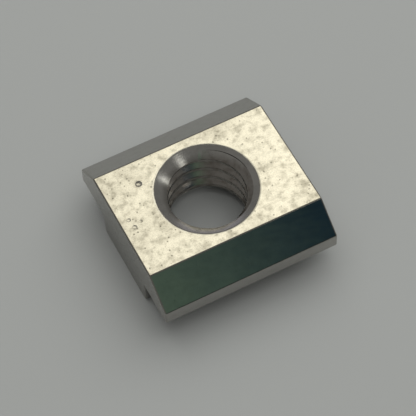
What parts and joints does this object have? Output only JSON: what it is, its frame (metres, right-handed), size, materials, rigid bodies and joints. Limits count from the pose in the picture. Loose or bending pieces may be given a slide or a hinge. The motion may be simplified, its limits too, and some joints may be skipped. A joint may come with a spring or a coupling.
{
  "type": "t slot nut",
  "caption": "Slide-in steel T-slot nut with a narrow boss, sloped flanks and a threaded hole countersunk at both mouths.",
  "frame": {"origin": "on the axis of the threaded hole, in the plane of the boss's lower face", "axes": "+X along the slot, +Y across the slot, +Z from the narrow boss up to the wide face"},
  "size_m": [0.0158, 0.016, 0.006],
  "materials": {
    "plated_steel": "bright plated steel with a faint warm tone, matt and finely pitted by barrel plating, with thin edge wear"
  },
  "bodies": {
    "root": {"slot_nut": "plated_steel"}
  },
  "joints": []
}
